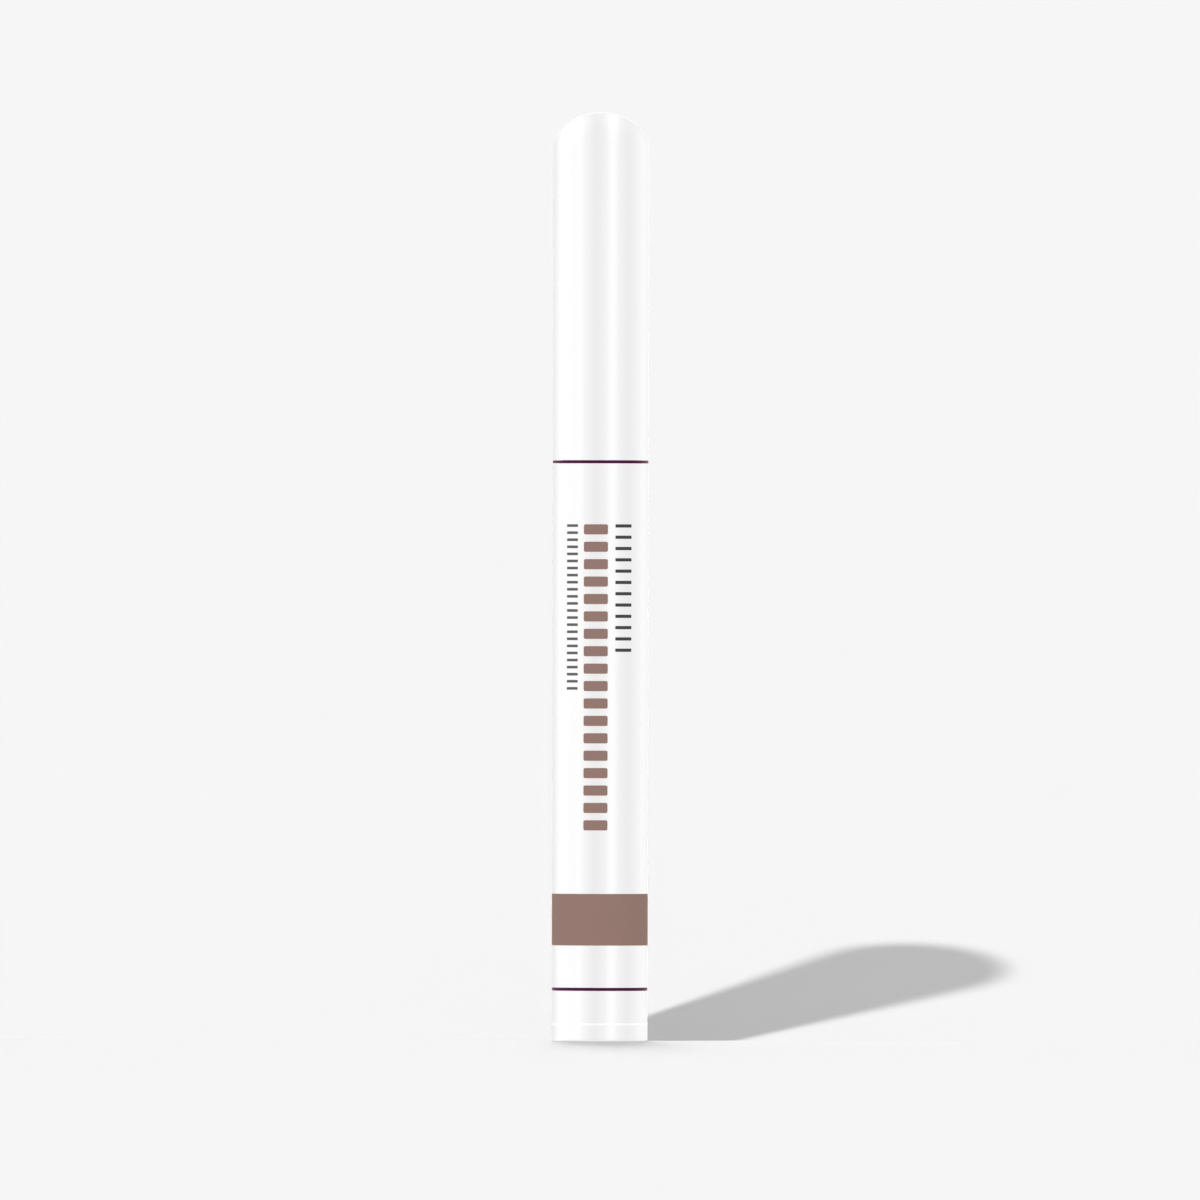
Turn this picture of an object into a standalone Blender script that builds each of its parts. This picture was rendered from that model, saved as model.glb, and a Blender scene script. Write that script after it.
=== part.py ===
"""Nail polish corrector pen: a felt-tip pen with a domed pull-off cap and three spare tips in its tail.

Lengths are in metres and +Z is up. The origin is the centre of the flat base that the pen stands on.
"""

import math

import bmesh
import bpy
from mathutils import Matrix, Vector

# Overall form
body_radius = 0.0067
barrel_length = 0.07338
cap_length = 0.04874
cap_dome_height = 0.0051
tail_sleeve_height = 0.00468
end_flange_height = 0.00233
ring_height = 0.00033

# Clearances
hairline = 0.00004
fit_gap = 0.0001
slide_gap = 0.00012
seal_gap = 0.00015
seat_gap = 0.0002
end_gap = 0.0003
cut_overrun = 0.0004

# Walls and edge radii
barrel_wall = 0.0012
cap_wall = 0.00085
cap_crown_wall = 0.0011
ring_hub_wall = 0.0004
section_wall = 0.0009
liner_wall = 0.00055
film_wall = 0.0002
plug_wall = 0.001
spigot_wall = 0.0005
sleeve_wall = 0.0012
edge_radius = 0.00012
joint_edge_radius = 0.00018
base_edge_radius = 0.00025
tip_edge_radius = 0.0003

# Snap beads: how far each stands out, and how long it is
cap_bead_height = 0.00023
neck_bead_height = 0.0002
tail_bead_height = 0.0002
bead_length = 0.0012
cap_bead_setback = 0.0018

# Ring hubs in the ends of the barrel
ring_hub_length = 0.0018

# Nib section
spigot_length = 0.01135
neck_length = 0.01216
land_step = 0.0007
land_length = 0.0045
nose_length = 0.0035
nose_wall = 0.001
vent_width = 0.0005
vent_depth = 0.00045
vent_count = 4

# Writing tip and its spares
nib_foot = 0.0035
nib_exposed = 0.0065
nib_taper = 0.0042
nib_gap = 0.00012
nib_slant = math.radians(38)
nib_slant_offset = 0.0005
spare_count = 3
spare_web = 0.0006
socket_wall = 0.00036

# Reservoir
reservoir_setback = 0.002
reservoir_gap = 0.00025
film_gap = 0.00005
film_setback = 0.0009

# Tail plug that closes the reservoir chamber
spare_headroom = 0.0095
plug_length = 0.0086
plug_floor = 0.0012
plug_standoff = 0.003
plug_bead_height = 0.00005
standoff_width = 0.0008
standoff_core = 0.0009
standoff_count = 4

# Ribs inside the barrel and the cap
rib_width = 0.0008
barrel_rib_count = 6
cap_rib_count = 6
cap_rib_setback = 0.003
rib_bite = 0.0004

# Cap liner
liner_dome_height = 0.003
liner_crown_drop = 0.0025

# Tail cap, end disc and spare tip holder
tail_spigot_length = 0.0069
tail_bead_setback = 0.0022
end_plug_room = 0.0013
end_floor = 0.0013
end_plug_wall = 0.0008
holder_height = 0.0065
holder_floor = 0.0008
holder_core_wall = 0.00012

# Facets
turn_steps = 40
small_steps = 24
arc_steps = 2
dome_steps = 8
inner_dome_steps = 5
merge_distance = 0.000001

# Radii that fit in each other
barrel_bore = body_radius - barrel_wall
cap_bore = body_radius - cap_wall
cap_bead_radius = cap_bore - cap_bead_height
neck_bead_radius = cap_bead_radius - slide_gap
neck_radius = neck_bead_radius - neck_bead_height
ring_bore = neck_radius + fit_gap
ring_hub_radius = ring_bore + ring_hub_wall
counterbore_radius = ring_hub_radius + fit_gap
spigot_radius = barrel_bore - fit_gap
reservoir_bore = neck_radius - section_wall
film_radius = reservoir_bore - reservoir_gap
reservoir_radius = film_radius - film_wall - film_gap
land_radius = neck_radius - land_step
liner_bore = land_radius + seal_gap
liner_radius = liner_bore + liner_wall
cap_rib_radius = liner_radius + fit_gap
barrel_rib_radius = film_radius + seat_gap
plug_radius = barrel_bore - fit_gap
plug_bore = plug_radius - plug_wall
tail_bead_radius = ring_bore - slide_gap
tail_spigot_radius = tail_bead_radius - tail_bead_height
tail_bore = tail_spigot_radius - spigot_wall
sleeve_bore = body_radius - sleeve_wall
end_plug_radius = sleeve_bore - fit_gap
end_plug_bore = end_plug_radius - end_plug_wall
holder_radius = tail_bore - fit_gap

# The spare tips fill their holder, and the writing tip is one of the same kind
half_spacing = math.sin(math.pi / spare_count)
room_for_socket = holder_radius - socket_wall - spare_web / (2 * half_spacing)
socket_radius = room_for_socket / (1 + 1 / half_spacing)
socket_circle = (socket_radius + spare_web / 2) / half_spacing
holder_core_radius = socket_circle - socket_radius - holder_core_wall
nib_radius = socket_radius - seal_gap
nib_bore = nib_radius + nib_gap
nose_radius = nib_bore + nose_wall

# Heights above the base
sleeve_bottom = end_flange_height + hairline
sleeve_top = sleeve_bottom + tail_sleeve_height
lower_ring_bottom = sleeve_top + hairline
barrel_bottom = lower_ring_bottom + ring_height + hairline
barrel_top = barrel_bottom + barrel_length
upper_ring_bottom = barrel_top + hairline
cap_bottom = upper_ring_bottom + ring_height + hairline
cap_top = cap_bottom + cap_length
section_bottom = barrel_top - spigot_length
neck_top = barrel_top + neck_length
land_top = neck_top + land_length
nose_top = land_top + nose_length
reservoir_top = neck_top - reservoir_setback
chamber_top = reservoir_top + end_gap
nib_bottom = reservoir_top - nib_foot
liner_bottom = neck_top + end_gap
liner_top = cap_top - cap_crown_wall - liner_crown_drop
liner_shoulder = liner_top - liner_dome_height
holder_bottom = end_floor + seat_gap
spare_bottom = holder_bottom + holder_floor + seat_gap

# Lengths that follow from what each piece reaches
nib_length = nose_top + nib_exposed - nib_bottom
end_plug_height = tail_sleeve_height - sleeve_wall - end_plug_room
plug_bottom = spare_bottom + nib_length + spare_headroom
plug_top = plug_bottom + plug_length
reservoir_bottom = plug_bottom + plug_floor + plug_standoff + seat_gap


def clear_scene():
    """Remove every object that the file holds."""
    for item in list(bpy.data.objects):
        bpy.data.objects.remove(item, do_unlink=True)


def new_collection(name):
    """A collection of this name, linked to the scene."""
    collection = bpy.data.collections.new(name)
    bpy.context.scene.collection.children.link(collection)
    return collection


def plastic(name, colour, roughness):
    """A plain Principled material."""
    material = bpy.data.materials.new(name)
    material.use_nodes = True
    shader = material.node_tree.nodes["Principled BSDF"]
    shader.inputs["Base Color"].default_value = (*colour, 1)
    shader.inputs["Roughness"].default_value = roughness
    shader.inputs["Metallic"].default_value = 0
    return material


def rounded(corners, closed):
    """Points (radius, height) of an outline whose corners (radius, height, rounding) are arcs."""
    points = []
    last = len(corners) - 1
    for index, (radius, height, rounding) in enumerate(corners):
        at_end = not closed and index in (0, last)
        if at_end or rounding == 0:
            points.append((radius, height))
            continue
        here = Vector((radius, height))
        before = Vector(corners[index - 1][:2]) - here
        after = Vector(corners[(index + 1) % len(corners)][:2]) - here
        half_angle = before.angle(after) / 2
        centre = here + (before.normalized() + after.normalized()).normalized() * (
            rounding / math.sin(half_angle)
        )
        start = here + before.normalized() * (rounding / math.tan(half_angle)) - centre
        end = here + after.normalized() * (rounding / math.tan(half_angle)) - centre
        turn = start.angle_signed(end)
        for step in range(arc_steps + 1):
            spoke = start.copy()
            spoke.rotate(Matrix.Rotation(-turn * step / arc_steps, 2))
            points.append(tuple(centre + spoke))
    return points


def quarter_ellipse(radius, rise, base, falling, steps=inner_dome_steps):
    """Corners along a quarter ellipse, from the axis out and down, or back in and up."""
    angles = [math.pi / 2 * step / steps for step in range(steps + 1)]
    if falling:
        angles.reverse()
    corners = []
    for angle in angles:
        across = 0 if angle == math.pi / 2 else radius * math.cos(angle)
        corners.append((across, base + rise * math.sin(angle), 0))
    return corners


def bead(radius, height, low, rising):
    """Corners of a ring bead that stands out by height from a wall of this radius."""
    corners = [
        (radius, low, 0),
        (radius + height, low + bead_length / 3, 0),
        (radius + height, low + bead_length * 2 / 3, 0),
        (radius, low + bead_length, 0),
    ]
    if not rising:
        corners.reverse()
    return corners


def turned(name, corners, material, place, closed=True, steps=turn_steps):
    """A solid turned about Z from an outline that runs down its outer side."""
    points = rounded(corners, closed)
    mesh = bpy.data.meshes.new(name)
    edges = [(index, index + 1) for index in range(len(points) - 1)]
    if closed:
        edges.append((len(points) - 1, 0))
    mesh.from_pydata([(radius, 0, height) for radius, height in points], edges, [])
    solid = bpy.data.objects.new(name, mesh)
    parts.objects.link(solid)
    solid.location = place
    solid.data.materials.append(material)
    screw = solid.modifiers.new("Turn", "SCREW")
    screw.axis = "Z"
    screw.angle = 2 * math.pi
    screw.steps = steps
    screw.render_steps = steps
    screw.use_merge_vertices = True
    screw.merge_threshold = merge_distance
    screw.use_smooth_shade = True
    return solid


def tool(name, mesh_builder, place):
    """A hidden helper body for a Boolean."""
    mesh = bpy.data.meshes.new(name)
    shape = bmesh.new()
    mesh_builder(shape)
    shape.to_mesh(mesh)
    shape.free()
    helper = bpy.data.objects.new(name, mesh)
    cutters.objects.link(helper)
    helper.location = place
    helper.hide_render = True
    helper.display_type = "WIRE"
    return helper


def spokes(name, count, inner, outer, width, low, high, place):
    """Upright radial plates round the axis, between two radii and two heights."""
    def build(shape):
        size = Matrix.Diagonal((outer - inner, width, high - low, 1))
        shift = Matrix.Translation(((inner + outer) / 2, 0, (low + high) / 2))
        for index in range(count):
            turn = Matrix.Rotation(2 * math.pi * index / count, 4, "Z")
            bmesh.ops.create_cube(shape, size=1, matrix=turn @ shift @ size)

    return tool(name, build, place)


def posts(name, centres, radius, low, high, place):
    """Upright round posts at these centres."""
    def build(shape):
        for across, along in centres:
            bmesh.ops.create_cone(
                shape,
                cap_ends=True,
                segments=small_steps,
                radius1=radius,
                radius2=radius,
                depth=high - low,
                matrix=Matrix.Translation((across, along, (low + high) / 2)),
            )

    return tool(name, build, place)


def combine(solid, helper, operation):
    """A Boolean of the solid with a helper body."""
    boolean = solid.modifiers.new(helper.name, "BOOLEAN")
    boolean.operation = operation
    boolean.solver = "EXACT"
    boolean.object = helper


def spare_centres():
    """Places of the spare tips round the axis of the tail."""
    angles = [2 * math.pi * index / spare_count for index in range(spare_count)]
    return [(socket_circle * math.cos(angle), socket_circle * math.sin(angle)) for angle in angles]


def make_barrel():
    """White tube, counterbored at both ends for the ring hubs, ribbed inside round the reservoir."""
    top = barrel_length
    hub_depth = ring_hub_length + end_gap
    corners = [
        (body_radius, top, edge_radius),
        (body_radius, 0, edge_radius),
        (counterbore_radius, 0, 0),
        (counterbore_radius, hub_depth, 0),
        (barrel_bore, hub_depth, 0),
        (barrel_bore, top - hub_depth, 0),
        (counterbore_radius, top - hub_depth, 0),
        (counterbore_radius, top, 0),
    ]
    barrel = turned("barrel", corners, white_plastic, (0, 0, barrel_bottom))
    ribs = spokes(
        "barrel_rib_tool",
        barrel_rib_count,
        barrel_rib_radius,
        barrel_bore + rib_bite,
        rib_width,
        plug_top + end_gap - barrel_bottom,
        section_bottom - end_gap - barrel_bottom,
        (0, 0, barrel_bottom),
    )
    combine(barrel, ribs, "UNION")


def make_trim_ring(name, flange_bottom, hub_up):
    """Dark ring that shows as a thin line at a joint, with a hub inside the end of the barrel."""
    hub_end = ring_height + ring_hub_length
    corners = [
        (ring_hub_radius, hub_end, 0),
        (ring_hub_radius, ring_height, 0),
        (body_radius, ring_height, 0),
        (body_radius, 0, 0),
        (ring_bore, 0, 0),
        (ring_bore, hub_end, 0),
    ]
    ring = turned(name, corners, purple_plastic, (0, 0, flange_bottom))
    if not hub_up:
        ring.rotation_euler = (math.pi, 0, 0)
        ring.location.z += ring_height


def make_nib_section():
    """Holder of the tip: a spigot in the barrel, the neck that the cap snaps on, and the nose."""
    neck = spigot_length + neck_length
    land = neck + land_length
    nose = land + nose_length
    chamber = chamber_top - section_bottom
    bead_low = cap_bottom + cap_bead_setback + bead_length + slide_gap - section_bottom
    inside_barrel = spigot_length - ring_hub_length - 2 * end_gap
    corners = [
        (nose_radius, nose, edge_radius),
        (land_radius, land, 0),
        (land_radius, neck, 0),
        (neck_radius, neck, edge_radius),
        *bead(neck_radius, neck_bead_height, bead_low, rising=False),
        (neck_radius, inside_barrel, 0),
        (spigot_radius, inside_barrel, 0),
        (spigot_radius, 0, edge_radius),
        (reservoir_bore, 0, 0),
        (reservoir_bore, chamber, 0),
        (nib_bore, chamber, 0),
        (nib_bore, nose, 0),
    ]
    place = (0, 0, section_bottom)
    section = turned("nib_section", corners, section_plastic, place)
    vents = spokes(
        "vent_tool",
        vent_count,
        nib_bore - vent_depth,
        nib_bore + vent_depth,
        vent_width,
        chamber - cut_overrun,
        nose + cut_overrun,
        place,
    )
    combine(section, vents, "DIFFERENCE")


def make_reservoir():
    """Fibre rod that holds the remover, with a socket for the foot of the tip."""
    height = reservoir_top - reservoir_bottom
    socket = nib_bottom - seat_gap - reservoir_bottom
    corners = [
        (nib_bore, height, 0),
        (reservoir_radius, height, 0),
        (reservoir_radius, 0, 0),
        (0, 0, 0),
    ]
    corners = [(0, socket, 0), (nib_bore, socket, 0), *corners]
    turned("fibre_reservoir", corners, fibre, (0, 0, reservoir_bottom), closed=False)


def make_film():
    """Thin wrap round the fibre rod, short of both its ends."""
    height = reservoir_top - reservoir_bottom - 2 * film_setback
    inner = film_radius - film_wall
    corners = [
        (film_radius, height, 0),
        (film_radius, 0, 0),
        (inner, 0, 0),
        (inner, height, 0),
    ]
    turned("reservoir_film", corners, film, (0, 0, reservoir_bottom + film_setback))


def make_tail_plug():
    """Cup pressed into the barrel that closes the reservoir chamber and carries the reservoir."""
    corners = [
        (plug_radius, plug_length, edge_radius),
        *bead(plug_radius, plug_bead_height, plug_length - 2 * bead_length, rising=False),
        *bead(plug_radius, plug_bead_height, bead_length, rising=False),
        (plug_radius, 0, edge_radius),
        (0, 0, 0),
    ]
    inside = [(0, plug_floor, 0), (plug_bore, plug_floor, 0), (plug_bore, plug_length, 0)]
    place = (0, 0, plug_bottom)
    plug = turned("tail_plug", [*inside, *corners], section_plastic, place, closed=False)
    standoffs = spokes(
        "standoff_tool",
        standoff_count,
        standoff_core,
        plug_bore + rib_bite,
        standoff_width,
        plug_floor - rib_bite,
        plug_floor + plug_standoff,
        place,
    )
    combine(plug, standoffs, "UNION")


def make_tip(name, place):
    """Bullet-shaped fibre tip with a slanted writing face."""
    corners = [
        *quarter_ellipse(nib_radius, nib_taper, nib_length - nib_taper, falling=True),
        (nib_radius, 0, tip_edge_radius),
        (0, 0, 0),
    ]
    tip = turned(name, corners, nib_fibre, place, closed=False, steps=small_steps)

    def build(shape):
        block = 4 * nib_radius
        turn = Matrix.Rotation(nib_slant, 4, "Y")
        size = Matrix.Diagonal((block, block, 2 * nib_taper, 1))
        shift = Matrix.Translation((block / 2 + nib_slant_offset, 0, 0))
        lift = Matrix.Translation((0, 0, nib_length - nib_taper / 2))
        bmesh.ops.create_cube(shape, size=1, matrix=lift @ turn.inverted() @ shift @ size)

    combine(tip, tool(name + "_slant_tool", build, place), "DIFFERENCE")
    return tip


def make_cap_shell():
    """White domed cap, with a snap bead near its mouth and ribs that grip the liner."""
    straight = cap_length - cap_dome_height
    inner_rise = cap_dome_height - cap_crown_wall
    corners = [
        *quarter_ellipse(body_radius, cap_dome_height, straight, True, dome_steps),
        (body_radius, 0, edge_radius),
        (cap_bore, 0, edge_radius),
        *bead(cap_bore, -cap_bead_height, cap_bead_setback, rising=True),
        *quarter_ellipse(cap_bore, inner_rise, straight, falling=False),
    ]
    place = (0, 0, cap_bottom)
    shell = turned("cap_shell", corners, white_plastic, place, closed=False)
    ribs = spokes(
        "cap_rib_tool",
        cap_rib_count,
        cap_rib_radius,
        cap_bore + rib_bite,
        rib_width,
        liner_bottom + cap_rib_setback - cap_bottom,
        liner_shoulder - cap_rib_setback - cap_bottom,
        place,
    )
    combine(shell, ribs, "UNION")
    return shell


def make_cap_liner():
    """Inner cap that seals round the land of the nib section and keeps the tip wet."""
    shoulder = liner_shoulder - liner_bottom
    corners = [
        *quarter_ellipse(liner_radius, liner_dome_height, shoulder, falling=True),
        (liner_radius, 0, edge_radius),
        (liner_bore, 0, edge_radius),
        *quarter_ellipse(liner_bore, liner_dome_height - liner_wall, shoulder, falling=False),
    ]
    return turned("cap_inner_liner", corners, liner_plastic, (0, 0, liner_bottom), closed=False)


def make_tail_cap():
    """White sleeve with a spigot that pulls out of the barrel, open below for the end disc."""
    top = tail_sleeve_height + tail_spigot_length
    bead_low = tail_sleeve_height + tail_bead_setback
    corners = [
        (tail_spigot_radius, top, edge_radius),
        *bead(tail_spigot_radius, tail_bead_height, bead_low, rising=False),
        (tail_spigot_radius, tail_sleeve_height, 0),
        (body_radius, tail_sleeve_height, edge_radius),
        (body_radius, 0, joint_edge_radius),
        (sleeve_bore, 0, 0),
        (sleeve_bore, tail_sleeve_height - sleeve_wall, 0),
        (tail_bore, tail_sleeve_height - sleeve_wall, 0),
        (tail_bore, top, edge_radius),
    ]
    return turned("tail_cap", corners, white_plastic, (0, 0, sleeve_bottom))


def make_end_disc():
    """White flange that the pen stands on, with a hollow plug inside the tail sleeve."""
    top = end_flange_height + end_plug_height
    corners = [
        (0, end_floor, 0),
        (end_plug_bore, end_floor, 0),
        (end_plug_bore, top, 0),
        (end_plug_radius, top, edge_radius),
        (end_plug_radius, end_flange_height, 0),
        (body_radius, end_flange_height, joint_edge_radius),
        (body_radius, 0, base_edge_radius),
        (0, 0, 0),
    ]
    return turned("tail_end_disc", corners, white_plastic, (0, 0, 0), closed=False)


def make_holder():
    """Round block with a blind socket for each spare tip and a cored centre."""
    corners = [
        (0, holder_height, 0),
        (holder_radius, holder_height, edge_radius),
        (holder_radius, 0, edge_radius),
        (0, 0, 0),
    ]
    place = (0, 0, holder_bottom)
    holder = turned("spare_nib_holder", corners, section_plastic, place, closed=False)
    high = holder_height + cut_overrun
    sockets = posts("socket_tool", spare_centres(), socket_radius, holder_floor, high, place)
    combine(holder, sockets, "DIFFERENCE")
    core = posts("core_tool", [(0, 0)], holder_core_radius, holder_floor, high, place)
    combine(holder, core, "DIFFERENCE")
    return holder


def group(name, place, members):
    """An empty on the joint's axis that carries the pieces of one moving body."""
    carrier = bpy.data.objects.new(name, None)
    parts.objects.link(carrier)
    carrier.location = place
    bpy.context.view_layer.update()
    for member in members:
        member.parent = carrier
        member.matrix_parent_inverse = carrier.matrix_world.inverted()
    return carrier


def main():
    """Model the pen, the fixed body first and then each piece that pulls off or out."""
    make_barrel()
    make_trim_ring("lower_trim_ring", lower_ring_bottom, hub_up=True)
    make_trim_ring("upper_trim_ring", upper_ring_bottom, hub_up=False)
    make_nib_section()
    make_reservoir()
    make_film()
    make_tail_plug()
    make_tip("nib", (0, 0, nib_bottom))
    group("cap", (0, 0, cap_bottom), [make_cap_shell(), make_cap_liner()])
    group("tail", (0, 0, sleeve_bottom), [make_tail_cap(), make_end_disc(), make_holder()])
    for index, (across, along) in enumerate(spare_centres(), start=1):
        make_tip("spare_nib_%d" % index, (across, along, spare_bottom))
    bpy.context.view_layer.update()


clear_scene()
parts = new_collection("nail_polish_corrector_pen")
cutters = new_collection("cutters")
white_plastic = plastic("white_plastic", (0.86, 0.86, 0.87), 0.2)
purple_plastic = plastic("purple_plastic", (0.07, 0.003, 0.03), 0.35)
section_plastic = plastic("section_plastic", (0.78, 0.78, 0.76), 0.4)
liner_plastic = plastic("liner_plastic", (0.72, 0.74, 0.74), 0.45)
fibre = plastic("fibre", (0.8, 0.78, 0.72), 0.95)
nib_fibre = plastic("nib_fibre", (0.87, 0.86, 0.82), 0.9)
film = plastic("film", (0.7, 0.72, 0.74), 0.25)
main()
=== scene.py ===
"""Nail polish corrector pen, dressed for a studio picture.

A glossy white felt-tip pen that stands on its tail: a domed cap, a barrel with plain print, two
dark trim rings, and a tail that holds three spare tips. Lengths are in metres, +Z is up and the
front of the pen faces -Y.
"""

import math

import bmesh
import bpy
from bpy.props import FloatProperty, FloatVectorProperty, IntProperty, PointerProperty
from bpy.types import Operator, Panel, PropertyGroup
from mathutils import Matrix, Vector


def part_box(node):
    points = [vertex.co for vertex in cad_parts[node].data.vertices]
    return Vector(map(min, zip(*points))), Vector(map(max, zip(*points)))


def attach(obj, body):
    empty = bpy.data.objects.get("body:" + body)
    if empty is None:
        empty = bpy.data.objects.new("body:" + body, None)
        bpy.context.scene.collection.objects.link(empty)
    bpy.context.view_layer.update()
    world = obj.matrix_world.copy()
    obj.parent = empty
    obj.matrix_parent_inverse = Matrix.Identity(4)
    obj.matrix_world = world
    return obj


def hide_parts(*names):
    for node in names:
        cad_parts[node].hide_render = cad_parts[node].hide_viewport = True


bl_info = {
    "name": "Nail Polish Corrector Pen",
    "version": (1, 0, 0),
    "blender": (4, 5, 0),
    "location": "View3D > Sidebar > Pen",
    "description": "Builds a glossy felt-tip corrector pen with its cap, tail and spare tips",
    "category": "Add Mesh",
}

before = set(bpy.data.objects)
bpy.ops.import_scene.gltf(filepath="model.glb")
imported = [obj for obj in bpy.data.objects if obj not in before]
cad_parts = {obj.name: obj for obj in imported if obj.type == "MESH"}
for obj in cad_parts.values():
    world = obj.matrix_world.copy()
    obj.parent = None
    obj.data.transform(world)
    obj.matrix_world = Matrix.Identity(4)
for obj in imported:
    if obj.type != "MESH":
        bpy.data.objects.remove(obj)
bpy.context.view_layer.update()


class Solid:
    """Lowest and highest level, radius and upright axis of one of the pen's solids."""

    def __init__(self, node):
        low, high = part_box(node)
        self.low = low.z
        self.high = high.z
        self.radius = (high.x - low.x) / 2
        self.axis = ((low.x + high.x) / 2, (low.y + high.y) / 2)


barrel = Solid("barrel")
cap = Solid("cap_shell")
liner = Solid("cap_inner_liner")
tail = Solid("tail_cap")
disc = Solid("tail_end_disc")
section = Solid("nib_section")
rod = Solid("fibre_reservoir")
film = Solid("reservoir_film")
plug = Solid("tail_plug")
holder = Solid("spare_nib_holder")
nib = Solid("nib")
upper_ring = Solid("upper_trim_ring")
lower_ring = Solid("lower_trim_ring")
body_radius = barrel.radius

# Steps and clearances inside the pen, which the boxes of the solids do not give
end_gap = 0.0003
seat_gap = 0.0002

ring_height = 0.00033
ring_hub_length = 0.0018
ring_hub_radius = 0.0058
ring_bore = 0.0054
counterbore_radius = 0.0059

bead_length = 0.0012
neck_bead_setback = 0.00312
cap_bead_setback = 0.0018
cap_bead_extra = 0.00003
tail_bead_setback = 0.0022

rib_count = 6
rib_width = 0.0008
rib_bite = 0.0003
rib_rounding = 0.2
cap_rib_gap = 0.0001
cap_rib_setback = 0.003
cap_side_row = 0.004

spigot_radius = 0.0054
neck_radius = 0.0053
neck_length = 0.01216
land_radius = 0.0046
land_length = 0.0045
nose_wall = 0.001
reservoir_bore = 0.0044
vent_count = 4
vent_width = 0.0005
vent_depth = 0.00045

nib_length = 0.02
nib_gap = 0.00012
nib_bore = nib.radius + nib_gap
writing_face_softness = 0.00016

plug_radius = 0.0054
plug_floor = 0.0012
plug_standoff = 0.003
standoff_core = 0.0009
standoff_count = 4

tail_spigot_radius = 0.00508
tail_spigot_wall = 0.0005
tail_sleeve_height = 0.00468
sleeve_wall = 0.0012

flange_height = 0.00233
flange_shelf = 0.00004
lip_step = 0.000004
lip_swell = 0.00003
lip_rise = 0.00003
lip_half_height = 0.00014
# How far the painted highlight on the end disc reaches past the lip
painted_highlight_spread = 0.00004
end_plug_radius = 0.0054
end_plug_wall = 0.0008
end_floor = 0.0013
foot_rim_inset = 0.0009
foot_recess_inset = 0.0011
foot_recess = 0.00012

spare_tips = ("spare_nib_1", "spare_nib_2", "spare_nib_3")
holder_floor = 0.0008
holder_core_wall = 0.00012
socket_gap = 0.00015
socket_radius = nib.radius + socket_gap
socket_lead = 0.00005
core_lead = 0.00003

# Rounding of edges, from film and crisp steps to soft mouldings and cut fibre; the edges of the
# shell have theirs in the sizes of the pen
ring_edge = 0.00002
step_edge = 0.00005
film_edge = 0.00006
fine_edge = 0.0001
thin_wall_edge = 0.00012
soft_edge = 0.00015
spigot_edge = 0.00018
moulded_edge = 0.0002
foot_edge = 0.00025
nose_edge = 0.00028
broad_edge = 0.0003
land_edge = 0.0006

# Meshes: facets round the small bodies and the band, the row that guards the shading of a flat
# face, what counts as one point, and from which angle an edge is sharp
tip_facets = 96
socket_facets = 64
band_facets = 288
guard_distance = 0.00003
weld_distance = 0.000001
sharp_angle = math.radians(34)

# Print: how far the ink reaches into the barrel, and the fineness and rounding of the bars
ink_root = 0.00002
bar_step = 0.00015
fewest_bar_steps = 8
bar_rounding = 0.16

# The picture: its size in pixels, the length of a pixel at the pen, and where the pen stands in it
picture_pixels = 1200
pixel_length = 0.00014
base_pixel_row = 1040.8
axis_pixel_column = 600.4
sensor_width = 36.0

# The floor and the sweep: how far they reach, and between which distances they fade out
floor_reach = 3.0
sweep_depth = 1.2
fade_start = 0.9
fade_end = 2.2

# The small lamp of the long shadow, and the row of far lamps for the soft shadow behind the foot,
# which climb in degrees and stand a little to the left
key_lamp_place = Vector((-0.04336, -0.04263, 0.24027))
key_lamp_radius = 0.0026
back_lamp_climbs = range(34, 76, 7)
back_lamp_swing = math.radians(2)
back_lamp_breadth = math.radians(7)

# Where most of the soft light comes from: the front, and a little from the left
main_light = Vector((-0.33, -0.94, 0.0)).normalized()

# Light cards of the studio, as they show across a cylinder that faces the front, from -1 to 1:
# centre, half width, soft edge, and how much brighter each makes the gloss
light_cards = (
    (-0.645, 0.17, 0.17, 0.13),
    (-0.33, 0.02, 0.18, 0.07),
    (0.24, 0.05, 0.28, 0.073),
    (0.245, 0.03, 0.11, 0.068),
    (1.0, 0.02, 0.42, 0.08),
)
card_bend = 0.42

# What gloss mirrors head on, and the light it finds in the room: in front, how much more there is
# to the sides, along the left edge and below
mirrored_head_on = 0.04
room_ahead = 0.45
room_aside = 0.4
edge_light = 1.2
table_light = 0.9

# A matt face takes up two thirds of a light that fades with the cosine, and the shell sends back
# this share of it
matt_gain = 1.5
shell_share = 0.88


def metres(name, description, default, precision=5, **limits):
    """A property that holds a length."""
    return FloatProperty(
        name=name,
        description=description,
        default=default,
        precision=precision,
        subtype="DISTANCE",
        unit="LENGTH",
        **limits,
    )


def degrees(name, description, default):
    """A property that holds an angle."""
    default = math.radians(default)
    return FloatProperty(
        name=name, description=description, default=default, subtype="ANGLE", unit="ROTATION"
    )


def brightness(name, description, default):
    """A property that holds an amount of light, where 1 shows white as white."""
    return FloatProperty(name=name, description=description, default=default, min=0)


def tint(name, description, default):
    """A property that holds a colour."""
    return FloatVectorProperty(
        name=name, description=description, default=default, min=0, max=1, subtype="COLOR"
    )


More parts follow.
